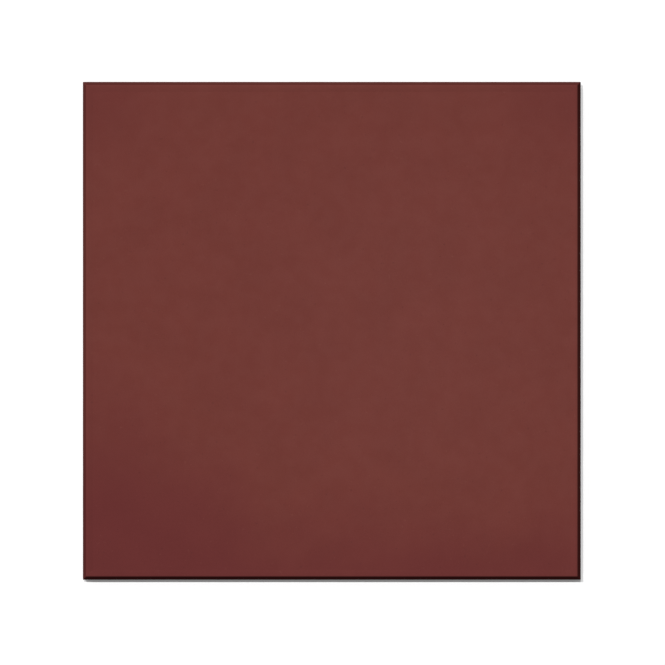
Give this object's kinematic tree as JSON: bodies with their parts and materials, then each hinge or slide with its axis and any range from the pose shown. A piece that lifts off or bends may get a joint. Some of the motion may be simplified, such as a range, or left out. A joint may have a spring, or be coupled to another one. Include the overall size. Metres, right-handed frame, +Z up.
{
  "type": "square floor tile",
  "caption": "Square unglazed ceramic floor tile with a flat wearing face, a narrow bevel round it and a ribbed, pocketed back for bedding in adhesive.",
  "frame": {"origin": "middle of the bedding plane, the flat underside that the ribs of the back stand on", "axes": "+Z up through the tile, from the back to the wearing face; +X and +Y along the sides, +X to the picture's right and +Y to its top"},
  "size_m": [0.15, 0.15, 0.009],
  "materials": {
    "fired_clay": "matte"
  },
  "bodies": {
    "root": {"floor_tile": "fired_clay"}
  },
  "joints": []
}
